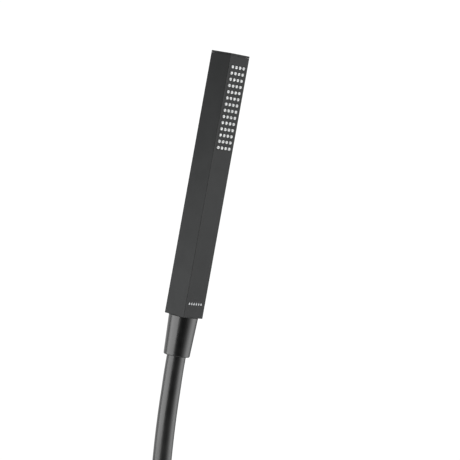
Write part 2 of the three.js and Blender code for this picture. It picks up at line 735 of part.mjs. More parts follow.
add("hose_lower_ferrule", lowerFerrule(), satinBlack(), wallEnd);
add("hose_lower_nipple", lowerNipple(), brass(), wallEnd);
add("wall_nut", wallNut(), satinBlack(), wallEnd);
add("wall_washer", wallWasher(), blackRubber(), wallEnd);

export default shower;
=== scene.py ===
"""Looks of a handheld stick shower: fine meshes and procedural finishes round its CAD pieces.

Metres, +Z up, in the CAD model's frame. The spray face looks along -Y.
"""

import json
import math

import bmesh
import bpy
from mathutils import Matrix, Vector


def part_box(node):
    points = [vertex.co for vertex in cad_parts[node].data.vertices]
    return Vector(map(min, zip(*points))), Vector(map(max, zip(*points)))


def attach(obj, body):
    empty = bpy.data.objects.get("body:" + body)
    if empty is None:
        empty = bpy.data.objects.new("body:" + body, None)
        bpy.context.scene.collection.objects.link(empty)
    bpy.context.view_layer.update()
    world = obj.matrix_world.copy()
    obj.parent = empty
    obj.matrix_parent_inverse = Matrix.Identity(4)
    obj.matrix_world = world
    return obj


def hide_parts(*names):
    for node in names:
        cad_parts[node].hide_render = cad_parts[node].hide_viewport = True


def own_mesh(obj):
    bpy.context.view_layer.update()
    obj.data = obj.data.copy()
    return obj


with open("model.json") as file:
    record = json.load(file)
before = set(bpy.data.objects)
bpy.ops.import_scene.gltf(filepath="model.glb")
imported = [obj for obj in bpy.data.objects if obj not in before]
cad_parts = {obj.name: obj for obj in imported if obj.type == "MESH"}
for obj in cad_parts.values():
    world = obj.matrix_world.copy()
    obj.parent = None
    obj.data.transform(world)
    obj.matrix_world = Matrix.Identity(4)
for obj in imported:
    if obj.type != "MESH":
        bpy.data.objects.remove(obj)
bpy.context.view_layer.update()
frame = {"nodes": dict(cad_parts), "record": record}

MM = 0.001

# ---- Places from the frame ----

SHELL_LOW, SHELL_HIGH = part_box("body_shell")
CAP_LOW, CAP_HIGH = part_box("top_cap")
MAT_LOW, MAT_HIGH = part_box("nozzle_mat")
NUT_LOW, NUT_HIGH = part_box("cone_nut")
SLEEVE_LOW, SLEEVE_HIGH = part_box("hose_upper_ferrule")
SPRING_LOW, SPRING_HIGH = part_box("check_valve_spring")
COIL_LOW, COIL_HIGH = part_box("hose_coil")
FERRULE_LOW, FERRULE_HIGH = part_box("hose_lower_ferrule")
WALL_NUT_LOW, WALL_NUT_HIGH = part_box("wall_nut")
WASHER_LOW, WASHER_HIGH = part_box("wall_washer")

GAP = 0.3 * MM  # between neighbouring CAD pieces
HALF_SIDE = SHELL_HIGH.x
HANDLE_WALL = 1.6 * MM
EDGE_RADIUS = 0.35 * MM
INNER_EDGE_RADIUS = 0.3 * EDGE_RADIUS
INNER_HALF = HALF_SIDE - HANDLE_WALL
FLOOR_Z = COIL_LOW.z


# ---- Camera ----

AZIMUTH = math.radians(-46.34)
ELEVATION = math.radians(3.29)
ROLL = math.radians(10.24)
DISTANCE = 2.02
LENS_MM = 179.5
SENSOR_MM = 36.0
AIM_RIGHT = 0.0269
AIM_HEIGHT = 0.0821


def compass(azimuth, elevation):
    """The direction from the object to that azimuth and elevation. Azimuth 0 is -Y, 90 degrees is +X."""
    level = math.cos(elevation)
    return Vector((math.sin(azimuth) * level, -math.cos(azimuth) * level, math.sin(elevation)))


def make_camera():
    back = compass(AZIMUTH, ELEVATION)
    level_right = Vector((math.cos(AZIMUTH), math.sin(AZIMUTH), 0.0))
    level_up = back.cross(level_right)
    right = level_right * math.cos(ROLL) + level_up * math.sin(ROLL)
    up = level_up * math.cos(ROLL) - level_right * math.sin(ROLL)
    aim = level_right * AIM_RIGHT + Vector((0.0, 0.0, AIM_HEIGHT))
    data = bpy.data.cameras.new("camera")
    data.lens = LENS_MM
    data.sensor_width = SENSOR_MM
    data.clip_start = 0.05
    camera = bpy.data.objects.new("camera", data)
    bpy.context.scene.collection.objects.link(camera)
    camera.location = aim + back * DISTANCE
    camera.rotation_mode = "QUATERNION"
    camera.rotation_quaternion = Matrix((right, up, back)).transposed().to_quaternion()
    bpy.context.scene.camera = camera


# ---- Finishes ----


class Finish:
    """A Principled material under construction, with short ways to add and join nodes."""

    def __init__(self, name, **values):
        self.material = bpy.data.materials.new(name)
        self.material.use_nodes = True
        self.tree = self.material.node_tree
        self.shader = self.tree.nodes["Principled BSDF"]
        self.place = self.tree.nodes.new("ShaderNodeTexCoord").outputs["Object"]
        for socket, value in values.items():
            self.shader.inputs[socket.replace("_", " ")].default_value = value

    def node(self, kind, **inputs):
        made = self.tree.nodes.new(kind)
        for socket, value in inputs.items():
            made.inputs[socket.replace("_", " ")].default_value = value
        return made

    def link(self, source, target):
        self.tree.links.new(source, target)

    def noise(self, size, detail=2.0, stretch=(1.0, 1.0, 1.0)):
        """Noise with grains of about that size in metres, longer along an axis whose stretch is above 1."""
        mapping = self.node("ShaderNodeMapping", Scale=[1.0 / s for s in stretch])
        texture = self.node("ShaderNodeTexNoise", Scale=1.0 / size, Detail=detail)
        self.link(self.place, mapping.inputs["Vector"])
        self.link(mapping.outputs["Vector"], texture.inputs["Vector"])
        return texture.outputs["Fac"]

    def spread(self, source, low, high, start=0.3, end=0.7):
        """The source's values from start to end, laid out between low and high."""
        ranged = self.node("ShaderNodeMapRange", From_Min=start, From_Max=end, To_Min=low, To_Max=high)
        self.link(source, ranged.inputs["Value"])
        return ranged.outputs["Result"]

    def colour(self, source, dark, light):
        ramp = self.node("ShaderNodeValToRGB")
        for stop, position, colour in zip(ramp.color_ramp.elements, (0.35, 0.65), (dark, light)):
            stop.position = position
            stop.color = (*colour, 1.0)
        self.link(source, ramp.inputs["Fac"])
        self.link(ramp.outputs["Color"], self.shader.inputs["Base Color"])

    def roughness(self, source, low, high):
        self.link(self.spread(source, low, high), self.shader.inputs["Roughness"])

    def bump(self, source, depth, strength):
        bump = self.node("ShaderNodeBump", Strength=strength, Distance=depth)
        self.link(source, bump.inputs["Height"])
        self.link(bump.outputs["Normal"], self.shader.inputs["Normal"])


def matt_black():
    """Matt coating of the handle: a very fine grain over a faint, slow unevenness."""
    finish = Finish("matt_black_coating", Specular_IOR_Level=0.12)
    slow = finish.noise(18 * MM, detail=3.0)
    grain = finish.noise(0.45 * MM)
    finish.colour(slow, (0.0165, 0.0173, 0.0175), (0.0193, 0.0202, 0.0204))
    finish.roughness(grain, 0.48, 0.58)
    finish.bump(grain, 0.014 * MM, 0.6)
    return finish.material


def satin_black():
    """Smooth satin black of the nut and fittings, with faint circular haze from turning."""
    finish = Finish("satin_black_coating", Specular_IOR_Level=0.5)
    haze = finish.noise(9 * MM, detail=3.0)
    lines = finish.noise(0.35 * MM, detail=1.0, stretch=(40.0, 40.0, 1.0))
    finish.colour(haze, (0.0026, 0.0027, 0.0028), (0.0038, 0.0040, 0.0040))
    finish.roughness(haze, 0.27, 0.31)
    finish.bump(lines, 0.004 * MM, 0.4)
    return finish.material


def hose_black():
    """Soft satin plastic of the hose's jacket, with a few duller patches and a fine grain."""
    finish = Finish("hose_plastic", Specular_IOR_Level=0.5)
    patches = finish.noise(14 * MM, detail=4.0)
    grain = finish.noise(0.5 * MM)
    finish.colour(patches, (0.0040, 0.0042, 0.0042), (0.0058, 0.0060, 0.0060))
    finish.roughness(patches, 0.31, 0.36)
    finish.bump(grain, 0.008 * MM, 0.4)
    return finish.material


def silicone():
    """Pale grey silicone with a soft, slightly waxy surface."""
    finish = Finish("nozzle_silicone")
    mottle = finish.noise(2.5 * MM, detail=3.0)
    grain = finish.noise(0.12 * MM)
    finish.colour(mottle, (0.75, 0.76, 0.76), (0.84, 0.85, 0.85))
    finish.roughness(mottle, 0.45, 0.6)
    finish.bump(grain, 0.01 * MM, 0.5)
    return finish.material


def rubber():
    """Dull black rubber of the seals."""
    finish = Finish("seal_rubber")
    mottle = finish.noise(3 * MM, detail=4.0)
    grain = finish.noise(0.15 * MM, detail=3.0)
    finish.colour(mottle, (0.012, 0.012, 0.012), (0.022, 0.022, 0.022))
    finish.roughness(mottle, 0.65, 0.85)
    finish.bump(grain, 0.02 * MM, 0.6)
    return finish.material


def moulded_plastic(name, dark, light):
    """Injection-moulded plastic: faint flow marks and a fine spark-eroded grain."""
    finish = Finish(name)
    flow = finish.noise(10 * MM, detail=3.0, stretch=(1.0, 1.0, 4.0))
    grain = finish.noise(0.18 * MM)
    finish.colour(flow, dark, light)
    finish.roughness(flow, 0.4, 0.55)
    finish.bump(grain, 0.01 * MM, 0.5)
    return finish.material


def turned_metal(name, dark, light, smoothest, roughest):
    """Machined metal with fine tool lines round its axis and slow stains."""
    finish = Finish(name, Metallic=1.0)
    stain = finish.noise(6 * MM, detail=4.0)
    lines = finish.noise(0.12 * MM, detail=1.0, stretch=(60.0, 60.0, 1.0))
    finish.colour(stain, dark, light)
    finish.roughness(stain, smoothest, roughest)
    finish.bump(lines, 0.006 * MM, 0.5)
    return finish.material


def printed_grey():
    """Pale grey pad print, slightly broken up by the coating's grain."""
    finish = Finish("printed_grey")
    grain = finish.noise(0.2 * MM)
    finish.colour(grain, (0.36, 0.37, 0.38), (0.46, 0.47, 0.48))
    finish.roughness(grain, 0.45, 0.6)
    finish.bump(grain, 0.006 * MM, 0.5)
    return finish.material


def floor_paint():
    """Plain pale paint that fades out towards the floor's rim and is clear from below."""
    finish = Finish("floor_paint", Roughness=0.7)
    finish.colour(finish.noise(0.15), (0.80, 0.80, 0.80), (0.84, 0.84, 0.84))
    distance = finish.node("ShaderNodeVectorMath")
    distance.operation = "LENGTH"
    finish.link(finish.place, distance.inputs[0])
    fade = finish.spread(distance.outputs["Value"], 1.0, 0.0, FLOOR_FADE_START, FLOOR_FADE_END)
    below = finish.node("ShaderNodeNewGeometry").outputs["Backfacing"]
    opacity = finish.node("ShaderNodeMath")
    opacity.operation = "SUBTRACT"
    opacity.use_clamp = True
    finish.link(fade, opacity.inputs[0])
    finish.link(below, opacity.inputs[1])
    finish.link(opacity.outputs["Value"], finish.shader.inputs["Alpha"])
    return finish.material


MATERIALS = {
    "matt_black_coating": matt_black(),
    "satin_black_coating": satin_black(),
    "hose_plastic": hose_black(),
    "nozzle_silicone": silicone(),
    "seal_rubber": rubber(),
    "white_plastic": moulded_plastic("white_plastic", (0.70, 0.70, 0.67), (0.78, 0.78, 0.75)),
    "valve_plastic": moulded_plastic("valve_plastic", (0.06, 0.16, 0.32), (0.09, 0.22, 0.40)),
    "brass": turned_metal("brass", (0.50, 0.35, 0.13), (0.66, 0.49, 0.22), 0.25, 0.4),
    "stainless": turned_metal("stainless", (0.50, 0.51, 0.52), (0.62, 0.63, 0.64), 0.22, 0.35),
    "printed_grey": printed_grey(),
}


# ---- Mesh building ----

SUPPORT = 0.2 * MM  # points this near each end of a long straight keep its shading flat
SHARP = math.radians(40)
SAME_POINT = 1e-7
LARGEST_CUT = 0.45  # the share of a side that the rounding of one corner may take


def rounded(corners, radius, steps=4, closed=True):
    """An outline with its corners rounded. A corner with a third number has its own radius."""
    points = []
    for i, corner in enumerate(corners):
        here = Vector(corner[:2])
        own = corner[2] if len(corner) > 2 else radius
        if not closed and i in (0, len(corners) - 1):
            own = 0.0
        to_last = Vector(corners[i - 1][:2]) - here
        to_next = Vector(corners[(i + 1) % len(corners)][:2]) - here
        cut = min(own, LARGEST_CUT * min(to_last.length, to_next.length))
        if cut == 0.0:
            points.append(here)
            continue
        first = here + to_last.normalized() * cut
        last = here + to_next.normalized() * cut
        for k in range(steps + 1):
            t = k / steps
            points.append(first * (1 - t) ** 2 + here * 2 * t * (1 - t) + last * t ** 2)
    return supported(points, closed)


def supported(points, closed):
    """The same outline with a point close to each end of every long straight."""
    more = []
    for i, here in enumerate(points):
        ahead = points[(i + 1) % len(points)] - here
        more.append(here)
        if ahead.length > 4 * SUPPORT and (closed or i < len(points) - 1):
            more.append(here + ahead.normalized() * SUPPORT)
            more.append(here + ahead - ahead.normalized() * SUPPORT)
    return more


def ring_faces(rings, size, start=0, closed=False, capped=False):
    """Faces between neighbouring rings of points, with the first point's number at start.

    Closed rings also join the last ring to the first, and capped ones close off the first and last ring.
    """
    faces = []
    for r in range(rings if closed else rings - 1):
        low, high = start + r * size, start + (r + 1) % rings * size
        for k in range(size):
            after = (k + 1) % size
            faces.append((low + k, low + after, high + after, high + k))
    if capped:
        last = start + (rings - 1) * size
        faces += [tuple(range(start, start + size)), tuple(range(last, last + size))]
    return faces


def ring_along_y(x, y, z, radius, sides, first_angle=0.0):
    """A ring of points round the line through x, z that runs along Y."""
    angles = [first_angle + 2 * math.pi * k / sides for k in range(sides)]
    return [Vector((x + radius * math.cos(a), y, z + radius * math.sin(a))) for a in angles]


def mesh_object(name, points, faces):
    mesh = bpy.data.meshes.new(name)
    mesh.from_pydata([tuple(p) for p in points], [], faces)
    made = bpy.data.objects.new(name, mesh)
    bpy.context.scene.collection.objects.link(made)
    return made


def turn_outwards(mesh):
    """Merges doubled points and turns all the faces outwards."""
    tidy = bmesh.new()
    tidy.from_mesh(mesh)
    bmesh.ops.remove_doubles(tidy, verts=tidy.verts, dist=SAME_POINT)
    bmesh.ops.recalc_face_normals(tidy, faces=tidy.faces)
    tidy.to_mesh(mesh)
    tidy.free()


def settle(piece):
    """Turns the piece's faces outwards and shades it smooth except at sharp edges."""
    turn_outwards(piece.data)
    piece.data.shade_smooth()
    piece.data.set_sharp_from_angle(angle=SHARP)
    piece.modifiers.clear()
    piece.modifiers.new("weighted", "WEIGHTED_NORMAL").keep_sharp = True


def new_piece(name, points, faces, slot, body, finish=None):
    """A piece of the shower on that body. Its finish is the slot's, unless another is named."""
    piece = mesh_object(name, points, faces)
    settle(piece)
    piece.data.materials.append(MATERIALS[finish or slot])
    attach(piece, body)
    return piece


def turned(name, profile, slot, body, sides=96, along=None, shape=None):
    """A ring-shaped piece turned from a closed [radius, height] profile about Z, or laid along a matrix.

    A shape gives the radius at each profile radius, height and angle, for a piece that isn't quite round.
    """
    points = []
    for radius, height in profile:
        for k in range(sides):
            angle = 2 * math.pi * k / sides
            reach = shape(radius, height, angle) if shape else radius
            points.append(Vector((reach * math.cos(angle), reach * math.sin(angle), height)))
    if along:
        points = [along @ p for p in points]
    return new_piece(name, points, ring_faces(len(profile), sides, closed=True), slot, body)


CORNER_STEPS = 6


def square_loop(half, corner, z):
    """A square outline with rounded corners, anticlockwise from above."""
    inset = half - corner
    loop = []
    for quarter, (sx, sy) in enumerate([(1, 1), (-1, 1), (-1, -1), (1, -1)]):
        for k in range(CORNER_STEPS + 1):
            angle = math.pi / 2 * (quarter + k / CORNER_STEPS)
            x = sx * inset + corner * math.cos(angle)
            y = sy * inset + corner * math.sin(angle)
            loop.append(Vector((x, y, z)))
    return loop


def squared(name, profile, slot, body, closed):
    """A square piece from [half side, height] points. Its upright edges are rounder at the outer faces.

    A closed profile makes a ring, and an open one a solid with flat ends.
    """
    points = []
    for half, height in profile:
        corner = max(EDGE_RADIUS - (HALF_SIDE - half), INNER_EDGE_RADIUS)
        points += square_loop(half, corner, height)
    faces = ring_faces(len(profile), 4 * (CORNER_STEPS + 1), closed=closed, capped=not closed)
    return new_piece(name, points, faces, slot, body)


def cut_with(piece, points, faces):
    """Cuts closed cutters out of the piece."""
    cutter = mesh_object("cutter", points, faces)
    turn_outwards(cutter.data)
    piece.modifiers.clear()
    boolean = piece.modifiers.new("cut", "BOOLEAN")
    boolean.operation = "DIFFERENCE"
    boolean.solver = "EXACT"
    boolean.object = cutter
    bpy.context.view_layer.update()
    evaluated = piece.evaluated_get(bpy.context.evaluated_depsgraph_get())
    piece.data = bpy.data.meshes.new_from_object(evaluated)
    bpy.data.objects.remove(cutter)
    settle(piece)


# ---- Nozzle field ----

NOZZLE_COLUMNS = 4
NOZZLE_ROWS = 14
COLUMN_PITCH = 4.6 * MM
ROW_PITCH = 5.49 * MM
FIRST_ROW_Z = CAP_HIGH.z - 11.55 * MM
NOZZLE_RADIUS = 1.35 * MM
MAT_FRONT_Y = -INNER_HALF + GAP
MAT_BACK_Y = MAT_HIGH.y
NOZZLE_TIP_Y = MAT_LOW.y
NOZZLE_SIDES = 24
SIDE_STEPS = (7, 5, 7, 5)  # how a cell's 24 boundary points share its right, top, left and lower side


def nozzle_places():
    return [
        ((column - (NOZZLE_COLUMNS - 1) / 2) * COLUMN_PITCH, FIRST_ROW_Z - row * ROW_PITCH)
        for row in range(NOZZLE_ROWS)
        for column in range(NOZZLE_COLUMNS)
    ]


def nozzle_profile():
    """[radius, y] from the mat's front, out round the nozzle's rounded tip, and back through its bore."""
    radius, front, tip = NOZZLE_RADIUS, MAT_FRONT_Y, NOZZLE_TIP_Y
    return [
        (radius + 0.14 * MM, front),
        (radius + 0.03 * MM, front - 0.05 * MM),
        (radius, front - 0.2 * MM),
        (radius - 0.02 * MM, tip + 0.55 * MM),
        (radius - 0.07 * MM, tip + 0.22 * MM),
        (radius - 0.16 * MM, tip + 0.09 * MM),
        (radius - 0.3 * MM, tip + 0.02 * MM),
        (radius - 0.42 * MM, tip),
        (0.85 * MM, tip + 0.02 * MM),
        (0.7 * MM, tip + 0.12 * MM),
        (0.62 * MM, tip + 0.35 * MM),
        (0.5 * MM, tip + 0.9 * MM),
        (0.45 * MM, MAT_BACK_Y - 0.5 * MM),
        (0.6 * MM, MAT_BACK_Y),
    ]


def cell_outline(x, z):
    """The points round one nozzle's cell, from its lower right corner, anticlockwise from the front."""
    half_x, half_z = COLUMN_PITCH / 2, ROW_PITCH / 2
    corners = [(half_x, -half_z), (half_x, half_z), (-half_x, half_z), (-half_x, -half_z)]
    outline = []
    for side, steps in enumerate(SIDE_STEPS):
        (x0, z0), (x1, z1) = corners[side], corners[(side + 1) % 4]
        for k in range(steps):
            outline.append((x + x0 + (x1 - x0) * k / steps, z + z0 + (z1 - z0) * k / steps))
    return outline


def nozzle_cell(x, z):
    """The rings of points of one cell: its front edge, the nozzle inwards through its bore, its back edge."""
    outline = cell_outline(x, z)
    first_angle = math.atan2(-ROW_PITCH, COLUMN_PITCH)
    front = [Vector((px, MAT_FRONT_Y, pz)) for px, pz in outline]
    back = [Vector((px, MAT_BACK_Y, pz)) for px, pz in outline]
    nozzle = [ring_along_y(x, y, z, radius, NOZZLE_SIDES, first_angle) for radius, y in nozzle_profile()]
    return [front, *nozzle, back]


def make_nozzle_mat():
    points, faces = [], []
    for x, z in nozzle_places():
        rings = nozzle_cell(x, z)
        faces += ring_faces(len(rings), NOZZLE_SIDES, start=len(points))
        points += sum(rings, [])
    add_mat_border(points, faces)
    piece = new_piece("nozzle_mat_detail", points, faces, "nozzle_silicone", "handset")
    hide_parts("nozzle_mat")


def add_mat_border(points, faces):
    """The mat's plain border round the cells, front, back and edge."""
    grid_x = NOZZLE_COLUMNS * COLUMN_PITCH / 2
    grid_high = FIRST_ROW_Z + ROW_PITCH / 2
    grid_low = grid_high - NOZZLE_ROWS * ROW_PITCH
    steps_up = SIDE_STEPS[0] * NOZZLE_ROWS
    steps_across = SIDE_STEPS[1] * NOZZLE_COLUMNS
    up = [grid_low + (grid_high - grid_low) * k / steps_up for k in range(steps_up)]
    across = [grid_x - 2 * grid_x * k / steps_across for k in range(steps_across)]
    inner = [
        [(grid_x, z) for z in up] + [(grid_x, grid_high)],
        [(x, grid_high) for x in across] + [(-grid_x, grid_high)],
        [(-grid_x, grid_low + grid_high - z) for z in up] + [(-grid_x, grid_low)],
        [(-x, grid_low) for x in across] + [(grid_x, grid_low)],
    ]
    outer = [
        (MAT_HIGH.x, MAT_LOW.z),
        (MAT_HIGH.x, MAT_HIGH.z),
        (MAT_LOW.x, MAT_HIGH.z),
        (MAT_LOW.x, MAT_LOW.z),
    ]

    def add_face(corners):
        faces.append(tuple(range(len(points), len(points) + len(corners))))
        points.extend(corners)

    for side in range(4):
        ends = [outer[side], outer[(side + 1) % 4]]
        for y in (MAT_FRONT_Y, MAT_BACK_Y):
            add_face([Vector((x, y, z)) for x, z in ends + inner[side][::-1]])
        front = [Vector((x, MAT_FRONT_Y, z)) for x, z in ends]
        back = [Vector((x, MAT_BACK_Y, z)) for x, z in ends]
        add_face(front + back[::-1])


# ---- Handle ----

SEAM_FILL = 0.18 * MM  # the visible seams are closed this far, so that no light shows through them
RIM_RADIUS = 0.15 * MM
NOZZLE_HOLE_RADIUS = 1.65 * MM
HOLE_EDGE = 0.12 * MM
SCREW_Z = 13.5 * MM
SCREW_HOLE_RADIUS = 1.8 * MM
SCREW_HOLE_SIDES = 32
DRILL_PAST = MM  # how far a drill reaches beyond the wall on either side


def drill(profile, x, z, sides, points, faces):
    """Adds a closed round cutter along Y, from [radius, y] points, to points and faces."""
    faces += ring_faces(len(profile), sides, start=len(points), capped=True)
    for radius, y in profile:
        points += ring_along_y(x, y, z, radius, sides)


def make_handle_tube():
    top = SHELL_HIGH.z + SEAM_FILL
    corners = [
        (HALF_SIDE, SHELL_LOW.z),
        (HALF_SIDE, top),
        (INNER_HALF, top),
        (INNER_HALF, SHELL_LOW.z),
    ]
    outline = rounded(corners, RIM_RADIUS, steps=3)
    piece = squared("body_shell_detail", outline, "matt_black_coating", "handset", closed=True)
    nozzle_hole = [
        (NOZZLE_HOLE_RADIUS + HOLE_EDGE, -HALF_SIDE - DRILL_PAST),
        (NOZZLE_HOLE_RADIUS + HOLE_EDGE, -HALF_SIDE),
        (NOZZLE_HOLE_RADIUS, -HALF_SIDE + HOLE_EDGE),
        (NOZZLE_HOLE_RADIUS, -INNER_HALF + DRILL_PAST),
    ]
    screw_hole = [
        (SCREW_HOLE_RADIUS, INNER_HALF - DRILL_PAST),
        (SCREW_HOLE_RADIUS, HALF_SIDE - HOLE_EDGE),
        (SCREW_HOLE_RADIUS + HOLE_EDGE, HALF_SIDE),
        (SCREW_HOLE_RADIUS + HOLE_EDGE, HALF_SIDE + DRILL_PAST),
    ]
    points, faces = [], []
    for x, z in nozzle_places():
        drill(nozzle_hole, x, z, NOZZLE_SIDES, points, faces)
    drill(screw_hole, 0.0, SCREW_Z, SCREW_HOLE_SIDES, points, faces)
    cut_with(piece, points, faces)
    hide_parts("body_shell")


PLUG_HALF = INNER_HALF - 0.4 * MM
CAP_GROOVE_HALF = PLUG_HALF - MM
CAP_GROOVE_LOW = CAP_LOW.z + 1.1 * MM
CAP_GROOVE_HIGH = CAP_GROOVE_LOW + 1.6 * MM
CAP_TOP_RADIUS = 0.3 * MM


def make_cap():
    """A square plate on a plug with a seal groove, from the middle of its lower face to that of its top."""
    plate_low = SHELL_HIGH.z + GAP
    middle = 0.5 * HALF_SIDE
    corners = [
        (middle, CAP_LOW.z),
        (PLUG_HALF, CAP_LOW.z),
        (PLUG_HALF, CAP_GROOVE_LOW),
        (CAP_GROOVE_HALF, CAP_GROOVE_LOW),
        (CAP_GROOVE_HALF, CAP_GROOVE_HIGH),
        (PLUG_HALF, CAP_GROOVE_HIGH),
        (PLUG_HALF, plate_low),
        (HALF_SIDE, plate_low),
        (HALF_SIDE, CAP_HIGH.z, CAP_TOP_RADIUS),
        (middle, CAP_HIGH.z),
    ]
    outline = rounded(corners, RIM_RADIUS, steps=3, closed=False)
    piece = squared("top_cap_detail", outline, "matt_black_coating", "handset", closed=False)
    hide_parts("top_cap")


# ---- Generic printed mark: a row of drops, low on the spray face ----

MARK_X = -0.3 * MM
MARK_Z = 12.7 * MM
DROP_COUNT = 6
DROP_PITCH = 2.9 * MM
DROP_RADIUS = 0.85 * MM
DROP_SIDES = 20
TIP_NARROWING = 0.55  # the share by which a drop narrows at its tip
TIP_LENGTHENING = 0.75  # the share of its radius by which a drop is drawn out at its tip
PRINT_THICKNESS = 0.03 * MM


def drop_outline(x, z):
    """A round drop with its tip up."""
    outline = []
    for k in range(DROP_SIDES):
        angle = 2 * math.pi * k / DROP_SIDES
        upper = max(0.0, math.sin(angle))
        narrowing = 1.0 - TIP_NARROWING * upper ** 1.5
        lift = 1.0 + TIP_LENGTHENING * upper ** 2
        outline.append((
            x + DROP_RADIUS * math.cos(angle) * narrowing,
            z + DROP_RADIUS * math.sin(angle) * lift,
        ))
    return outline


def make_mark():
    points, faces = [], []
    for i in range(DROP_COUNT):
        outline = drop_outline(MARK_X + (i - (DROP_COUNT - 1) / 2) * DROP_PITCH, MARK_Z)
        faces += ring_faces(2, DROP_SIDES, start=len(points), capped=True)
        for y in (-HALF_SIDE - PRINT_THICKNESS, -HALF_SIDE + PRINT_THICKNESS):
            points += [Vector((x, y, z)) for x, z in outline]
    new_piece("printed_mark", points, faces, "nozzle_silicone", "handset", finish="printed_grey")


# ---- Conical nut, and the crimp sleeve round the hose inside it ----

NUT_MOUTH = 8.9 * MM
NUT_LOWER_RADIUS = 11.7 * MM
NUT_SHOULDER_Z = -15.7 * MM
NUT_SIDES = 128
THREAD_CAVITY = 10.8 * MM
HOSE_DIAMETER = 17 * MM
HOSE_RADIUS = HOSE_DIAMETER / 2
HOSE_CLEARANCE = 0.05 * MM
SLEEVE_WALL = 0.2 * MM
SLEEVE_RECESS = 1.8 * MM  # from the CAD sleeve's lower end to this one's


def make_cone_nut():
    top = NUT_HIGH.z + SEAM_FILL
    corners = [
        (NUT_MOUTH, NUT_LOW.z, 0.4 * MM),
        (NUT_LOWER_RADIUS, NUT_LOW.z, 1.1 * MM),
        (NUT_HIGH.x, top, 0.25 * MM),
        (THREAD_CAVITY, top),
        (THREAD_CAVITY, NUT_SHOULDER_Z),
        (NUT_MOUTH, NUT_SHOULDER_Z),
    ]
    outline = rounded(corners, 0.2 * MM, steps=6)
    piece = turned("cone_nut_detail", outline, "satin_black_coating", "handset", sides=NUT_SIDES)
    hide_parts("cone_nut")


def make_crimp_sleeve():
    inner = HOSE_RADIUS + HOSE_CLEARANCE
    outer = inner + SLEEVE_WALL
    low, high = SLEEVE_LOW.z + SLEEVE_RECESS, SLEEVE_HIGH.z
    corners = [(inner, low), (outer, low), (outer, high), (inner, high)]
    outline = rounded(corners, 0.08 * MM, steps=3)
    piece = turned("upper_crimp_sleeve", outline, "hose_plastic", "hose")
    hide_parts("hose_upper_ferrule")


# ---- Valve spring, a fixed helix in the CAD spring's place ----

SPRING_WIRE = 0.3 * MM
SPRING_TURNS = 4
SPRING_STEPS = 32 * SPRING_TURNS
SPRING_SIDES = 10


def make_valve_spring():
    centre_radius = SPRING_HIGH.x - SPRING_WIRE
    low, high = SPRING_LOW.z + SPRING_WIRE, SPRING_HIGH.z - SPRING_WIRE
    up = Vector((0.0, 0.0, 1.0))
    points = []
    for i in range(SPRING_STEPS + 1):
        angle = 2 * math.pi * SPRING_TURNS * i / SPRING_STEPS
        outwards = Vector((math.cos(angle), math.sin(angle), 0.0))
        middle = outwards * centre_radius + up * (low + (high - low) * i / SPRING_STEPS)
        for k in range(SPRING_SIDES):
            around = 2 * math.pi * k / SPRING_SIDES
            points.append(middle + SPRING_WIRE * (outwards * math.cos(around) + up * math.sin(around)))
    faces = ring_faces(SPRING_STEPS + 1, SPRING_SIDES, capped=True)
    piece = new_piece("valve_spring_detail", points, faces, "stainless", "handset")
    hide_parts("check_valve_spring")
    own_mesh(piece)


# ---- Hose ----

COIL_CENTRE = (COIL_LOW + COIL_HIGH) / 2
COIL_RADIUS = 5 * HOSE_DIAMETER
COIL_OUTER_RADIUS = COIL_HIGH.x - COIL_CENTRE.x - HOSE_RADIUS
COIL_STEP = 15  # degrees
COIL_END = 720
DESCENT = (255, 340)  # where the hose goes down from the upper turn to the surface
SHIFT = (560, 640)  # where the last turn moves out beside the lower one
HOSE_START = (0, -26)

# The free stretch in the plane y = 0: [x, z] in millimetres, from inside the nut to the upper turn.
FREE_ROUTE = [
    (0, -35.8),
    (0.2, -51),
    (0.8, -66),
    (1.4, -81),
    (2.3, -96),
    (3.5, -111),
    (5, -126),
    (6.7, -141),
    (8.6, -156),
    (10.9, -171),
    (13.9, -186),
    (18.2, -200),
    (24.3, -213.5),
    (32.3, -226),
    (41.9, -237),
    (52.3, -246),
    (64.5, -253.5),
    (78, -259.3),
    (91.5, -263.1),
]

# The last stretch, from the coil to the end fitting: [x, height above the surface] in millimetres.
TAIL_ROUTE = [
    (124, 8.8),
    (144, 10),
    (165.5, 11.9),
    (175, 12.5),
    (185, 12.7),
    (190.5, 12.7),
]


def smooth_share(value, start, end):
    share = min(max((value - start) / (end - start), 0.0), 1.0)
    return share * share * (3 - 2 * share)


def coil_points():
    points = []
    for degrees in range(0, COIL_END + 1, COIL_STEP):
        radius = COIL_RADIUS + (COIL_OUTER_RADIUS - COIL_RADIUS) * smooth_share(degrees, *SHIFT)
        height = HOSE_RADIUS + HOSE_DIAMETER * (1 - smooth_share(degrees, *DESCENT))
        angle = math.radians(degrees)
        x = COIL_CENTRE.x + radius * math.sin(angle)
        y = COIL_CENTRE.y + radius * math.cos(angle)
        points.append(Vector((x, y, FLOOR_Z + height)))
    return points


def hose_points():
    tail_y = COIL_CENTRE.y + COIL_OUTER_RADIUS
    free = [Vector((x * MM, 0.0, z * MM)) for x, z in [HOSE_START, *FREE_ROUTE]]
    tail = [Vector((x * MM, tail_y, FLOOR_Z + height * MM)) for x, height in TAIL_ROUTE]
    return free + coil_points() + tail


